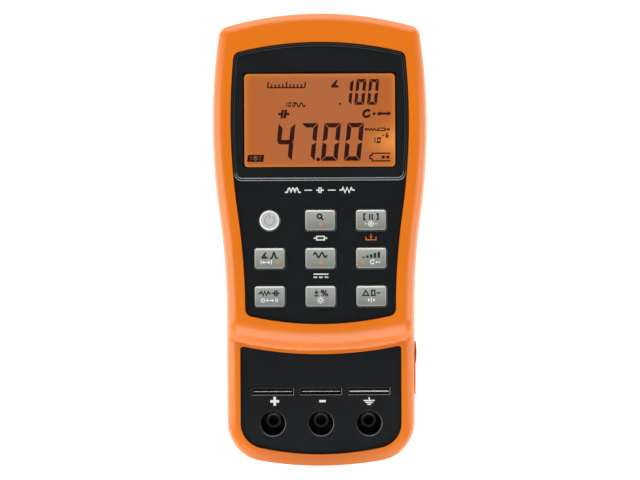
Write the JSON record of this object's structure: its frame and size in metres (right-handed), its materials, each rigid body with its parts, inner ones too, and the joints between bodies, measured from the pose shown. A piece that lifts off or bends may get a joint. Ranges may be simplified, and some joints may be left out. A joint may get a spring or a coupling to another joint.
{
  "type": "handheld component tester",
  "caption": "Handheld meter for capacitors, inductors and resistors, with a display, keys, sockets and lead slots in an overmoulded case.",
  "frame": {"origin": "middle of the case on the plane that the feet rest on", "axes": "+Z out of the front face, +Y towards the display end, +X to the right of the display"},
  "size_m": [0.087, 0.1838, 0.041],
  "materials": {
    "orange_skin": "soft-touch matt orange overmould",
    "charcoal_plastic": "fine spark-eroded charcoal",
    "charcoal_back": "fine spark-eroded charcoal",
    "clear_window": "clear acrylic",
    "black_tape": "black adhesive foam",
    "lcd_glass": "lit liquid-crystal panel, amber",
    "white_plastic": "moulded white",
    "zebra_rubber": "striped elastomer",
    "light_guide": "frosted acrylic",
    "led_plastic": "clear amber",
    "green_board": "green solder resist",
    "zinc_steel": "zinc plated",
    "black_plastic": "moulded black",
    "can_aluminium": "sleeved can",
    "bright_can": "nickel",
    "tinned_steel": "tinned sheet",
    "grey_silicone": "silicone",
    "key_grey": "silver-grey key",
    "key_white": "near-white key",
    "gilt_brass": "plated brass",
    "spring_bronze": "nickel-plated spring bronze",
    "battery_wrap": "plain printed sleeve",
    "grey_foam": "foam",
    "black_rubber": "matt black"
  },
  "bodies": {
    "case": {"front_overmould": "orange_skin", "rear_overmould": "orange_skin", "front_case": "charcoal_plastic", "rear_case": "charcoal_back", "display_window": "clear_window", "window_tape": "black_tape", "lcd_panel": "lcd_glass", "lcd_frame": "white_plastic", "zebra_strips": "zebra_rubber", "light_guide": "light_guide", "backlight_leds": "led_plastic", "display_board": "green_board", "main_board": "green_board", "board_screws": "zinc_steel", "board_headers": "black_plastic", "main_chips": "black_plastic", "relays": "white_plastic", "capacitors": "can_aluminium", "crystal": "bright_can", "buzzer": "black_plastic", "shield_can": "tinned_steel", "keypad_mat": "grey_silicone", "jack_plus": "gilt_brass", "jack_minus": "gilt_brass", "jack_guard": "gilt_brass", "contact_plus": "spring_bronze", "contact_minus": "spring_bronze", "contact_guard": "spring_bronze", "dc_inlet": "black_plastic", "dc_inlet_pin": "bright_can", "battery": "battery_wrap", "battery_snap": "black_plastic", "case_screws": "zinc_steel", "cover_inserts": "gilt_brass", "rubber_feet": "black_rubber", "web_power": "grey_silicone", "web_identify": "grey_silicone", "web_hold": "grey_silicone", "web_quality": "grey_silicone", "web_frequency": "grey_silicone", "web_range": "grey_silicone", "web_function": "grey_silicone", "web_tolerance": "grey_silicone", "web_null": "grey_silicone"},
    "key_power": {"key_power": "key_white"},
    "key_identify": {"key_identify": "key_grey"},
    "key_hold": {"key_hold": "key_grey"},
    "key_quality": {"key_quality": "key_grey"},
    "key_frequency": {"key_frequency": "key_grey"},
    "key_range": {"key_range": "key_grey"},
    "key_function": {"key_function": "key_grey"},
    "key_tolerance": {"key_tolerance": "key_grey"},
    "key_null": {"key_null": "key_grey"},
    "tilt_stand": {"tilt_stand": "charcoal_back"},
    "battery_cover": {"battery_cover": "charcoal_back", "cover_screws": "zinc_steel", "battery_foam": "grey_foam"}
  },
  "joints": [
    {"name": "press_power", "type": "slide", "parent": "case", "child": "key_power", "axis": [0, 0, -1], "range_m": [0, 0.0009], "stiffness_N_per_m": 700, "springref_m": -0.0006, "deforming": ["web_power"]},
    {"name": "press_identify", "type": "slide", "parent": "case", "child": "key_identify", "axis": [0, 0, -1], "range_m": [0, 0.0009], "stiffness_N_per_m": 700, "springref_m": -0.0006, "deforming": ["web_identify"]},
    {"name": "press_hold", "type": "slide", "parent": "case", "child": "key_hold", "axis": [0, 0, -1], "range_m": [0, 0.0009], "stiffness_N_per_m": 700, "springref_m": -0.0006, "deforming": ["web_hold"]},
    {"name": "press_quality", "type": "slide", "parent": "case", "child": "key_quality", "axis": [0, 0, -1], "range_m": [0, 0.0009], "stiffness_N_per_m": 700, "springref_m": -0.0006, "deforming": ["web_quality"]},
    {"name": "press_frequency", "type": "slide", "parent": "case", "child": "key_frequency", "axis": [0, 0, -1], "range_m": [0, 0.0009], "stiffness_N_per_m": 700, "springref_m": -0.0006, "deforming": ["web_frequency"]},
    {"name": "press_range", "type": "slide", "parent": "case", "child": "key_range", "axis": [0, 0, -1], "range_m": [0, 0.0009], "stiffness_N_per_m": 700, "springref_m": -0.0006, "deforming": ["web_range"]},
    {"name": "press_function", "type": "slide", "parent": "case", "child": "key_function", "axis": [0, 0, -1], "range_m": [0, 0.0009], "stiffness_N_per_m": 700, "springref_m": -0.0006, "deforming": ["web_function"]},
    {"name": "press_tolerance", "type": "slide", "parent": "case", "child": "key_tolerance", "axis": [0, 0, -1], "range_m": [0, 0.0009], "stiffness_N_per_m": 700, "springref_m": -0.0006, "deforming": ["web_tolerance"]},
    {"name": "press_null", "type": "slide", "parent": "case", "child": "key_null", "axis": [0, 0, -1], "range_m": [0, 0.0009], "stiffness_N_per_m": 700, "springref_m": -0.0006, "deforming": ["web_null"]},
    {"name": "stand_hinge", "type": "hinge", "parent": "case", "child": "tilt_stand", "pos_m": [0, 0.02799, 0.0027], "axis": [1, 0, 0], "range_deg": [0, 62]},
    {"name": "battery_cover_lift", "type": "slide", "parent": "case", "child": "battery_cover", "axis": [0, 0, -1], "range_m": [0, 0.03]}
  ]
}
